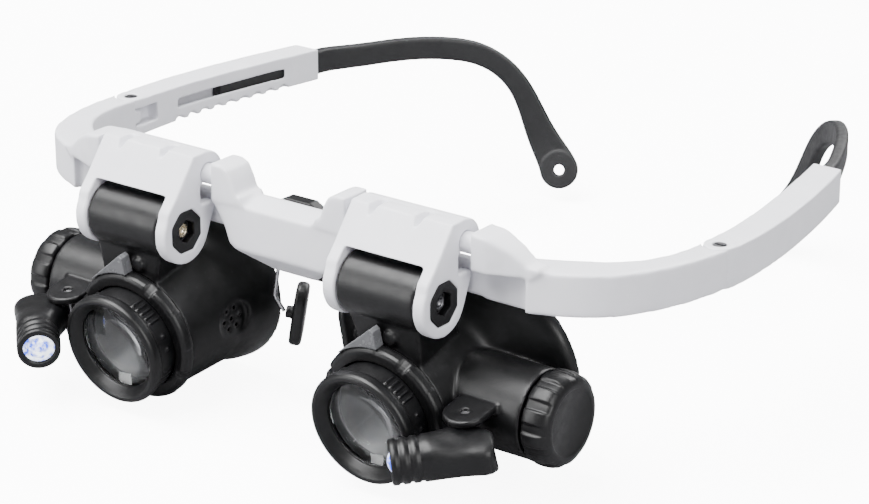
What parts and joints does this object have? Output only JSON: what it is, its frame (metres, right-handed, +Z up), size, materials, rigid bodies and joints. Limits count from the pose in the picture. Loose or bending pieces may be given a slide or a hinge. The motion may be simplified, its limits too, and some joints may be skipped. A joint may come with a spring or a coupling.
{
  "type": "head visor magnifier",
  "caption": "Spectacle-frame head magnifier with tilting, flip-up lamp-lit loupe eyepieces, folding temples and sliding ear arms.",
  "frame": {"origin": "middle of the nose bridge, level with the eyepieces' tilt axis", "axes": "+Z up, -Y to the front where the lenses point, +X to the wearer's left"},
  "size_m": [0.1594, 0.1736, 0.055],
  "materials": {
    "white_plastic": "moulded, satin gloss",
    "black_plastic": "moulded, satin",
    "soft_black": "soft matt nylon",
    "grey_plastic": "satin",
    "clear_glass": "polished, coated",
    "brass_screw": "machined",
    "bright_steel": "plain",
    "led_clear": "clear resin",
    "soft_pad": "soft matt"
  },
  "bodies": {
    "frame": {"front_frame": "white_plastic", "nose_saddle": "black_plastic", "saddle_screws": "bright_steel", "flip_shaft_left": "white_plastic", "pad_wire_left": "bright_steel", "flip_shaft_right": "white_plastic", "pad_wire_right": "bright_steel"},
    "clip_left": {"slide_clip_left": "black_plastic"},
    "yoke_left": {"yoke_left": "white_plastic", "pivot_plug_inner_left": "black_plastic", "pivot_plug_outer_left": "black_plastic", "pivot_screw_inner_left": "brass_screw", "pivot_screw_outer_left": "brass_screw"},
    "eyepiece_left": {"eyepiece_shell_left": "black_plastic", "ocular_ring_left": "black_plastic", "ocular_lens_left": "clear_glass", "lock_ring_left": "black_plastic", "latch_tab_left": "grey_plastic", "cells_left": "bright_steel", "contact_spring_left": "brass_screw", "lamp_pin_left": "bright_steel"},
    "lens_barrel_left": {"lens_holder_left": "black_plastic", "bezel_left": "black_plastic", "front_lens_left": "clear_glass"},
    "battery_cover_left": {"battery_cap_left": "black_plastic"},
    "lamp_left": {"lamp_housing_left": "black_plastic", "lamp_led_left": "led_clear"},
    "temple_left": {"temple_left": "white_plastic", "hinge_screw_left": "bright_steel"},
    "ear_arm_left": {"ear_arm_left": "soft_black"},
    "nose_pad_left": {"nose_pad_left": "soft_pad"},
    "clip_right": {"slide_clip_right": "black_plastic"},
    "yoke_right": {"yoke_right": "white_plastic", "pivot_plug_inner_right": "black_plastic", "pivot_plug_outer_right": "black_plastic", "pivot_screw_inner_right": "brass_screw", "pivot_screw_outer_right": "brass_screw"},
    "eyepiece_right": {"eyepiece_shell_right": "black_plastic", "ocular_ring_right": "black_plastic", "ocular_lens_right": "clear_glass", "lock_ring_right": "black_plastic", "latch_tab_right": "grey_plastic", "cells_right": "bright_steel", "contact_spring_right": "brass_screw", "lamp_pin_right": "bright_steel"},
    "lens_barrel_right": {"lens_holder_right": "black_plastic", "bezel_right": "black_plastic", "front_lens_right": "clear_glass"},
    "battery_cover_right": {"battery_cap_right": "black_plastic"},
    "lamp_right": {"lamp_housing_right": "black_plastic", "lamp_led_right": "led_clear"},
    "temple_right": {"temple_right": "white_plastic", "hinge_screw_right": "bright_steel"},
    "ear_arm_right": {"ear_arm_right": "soft_black"},
    "nose_pad_right": {"nose_pad_right": "soft_pad"}
  },
  "joints": [
    {"name": "pupil_slide_left", "type": "slide", "parent": "frame", "child": "clip_left", "axis": [1, 0, 0], "range_m": [-0.0023, 0.0023]},
    {"name": "flip_left", "type": "hinge", "parent": "clip_left", "child": "yoke_left", "pos_m": [0.032, -0.0011, 0.0105], "axis": [-1, 0, 0], "range_deg": [0, 90]},
    {"name": "tilt_left", "type": "hinge", "parent": "yoke_left", "child": "eyepiece_left", "pos_m": [0.032, -0.008, 0], "axis": [-1, 0, 0], "range_deg": [-12, 20]},
    {"name": "lens_twist_left", "type": "hinge", "parent": "eyepiece_left", "child": "lens_barrel_left", "pos_m": [0.032, -0.00438, -0.02312], "axis": [0, 0.988, 0.1547], "range_deg": [-30, 30]},
    {"name": "battery_twist_left", "type": "hinge", "parent": "eyepiece_left", "child": "battery_cover_left", "pos_m": [0.062, 0.00214, -0.0221], "axis": [1, 0, 0], "range_deg": [0, 60]},
    {"name": "lamp_swivel_left", "type": "hinge", "parent": "eyepiece_left", "child": "lamp_left", "pos_m": [0.051, -0.0109, -0.01898], "axis": [0, -0.1547, 0.988], "range_deg": [0, 30]},
    {"name": "temple_fold_left", "type": "hinge", "parent": "frame", "child": "temple_left", "pos_m": [0.0762, 0.038, 0.001], "axis": [0, 0, 1], "range_deg": [-6, 50]},
    {"name": "arm_slide_left", "type": "slide", "parent": "temple_left", "child": "ear_arm_left", "axis": [-0.1801, 0.9836, -0.0125], "range_m": [-0.004, 0.012]},
    {"name": "pad_rock_left", "type": "hinge", "parent": "frame", "child": "nose_pad_left", "pos_m": [0.01003, 0.01052, -0.02095], "axis": [0.5201, 0.8481, 0.101], "range_deg": [-6, 6]},
    {"name": "pupil_slide_right", "type": "slide", "parent": "frame", "child": "clip_right", "axis": [1, 0, 0], "range_m": [-0.0023, 0.0023]},
    {"name": "flip_right", "type": "hinge", "parent": "clip_right", "child": "yoke_right", "pos_m": [-0.032, -0.0011, 0.0105], "axis": [-1, 0, 0], "range_deg": [0, 90]},
    {"name": "tilt_right", "type": "hinge", "parent": "yoke_right", "child": "eyepiece_right", "pos_m": [-0.032, -0.008, 0], "axis": [-1, 0, 0], "range_deg": [-12, 20]},
    {"name": "lens_twist_right", "type": "hinge", "parent": "eyepiece_right", "child": "lens_barrel_right", "pos_m": [-0.032, -0.00438, -0.02312], "axis": [0, 0.988, 0.1547], "range_deg": [-30, 30]},
    {"name": "battery_twist_right", "type": "hinge", "parent": "eyepiece_right", "child": "battery_cover_right", "pos_m": [-0.062, 0.00214, -0.0221], "axis": [-1, 0, 0], "range_deg": [0, 60]},
    {"name": "lamp_swivel_right", "type": "hinge", "parent": "eyepiece_right", "child": "lamp_right", "pos_m": [-0.051, -0.0109, -0.01898], "axis": [0, -0.1547, 0.988], "range_deg": [-30, 0]},
    {"name": "temple_fold_right", "type": "hinge", "parent": "frame", "child": "temple_right", "pos_m": [-0.0762, 0.038, 0.001], "axis": [0, 0, 1], "range_deg": [-50, 6]},
    {"name": "arm_slide_right", "type": "slide", "parent": "temple_right", "child": "ear_arm_right", "axis": [0.1801, 0.9836, -0.0125], "range_m": [-0.004, 0.012]},
    {"name": "pad_rock_right", "type": "hinge", "parent": "frame", "child": "nose_pad_right", "pos_m": [-0.01003, 0.01052, -0.02095], "axis": [-0.5201, 0.8481, 0.101], "range_deg": [-6, 6]}
  ]
}
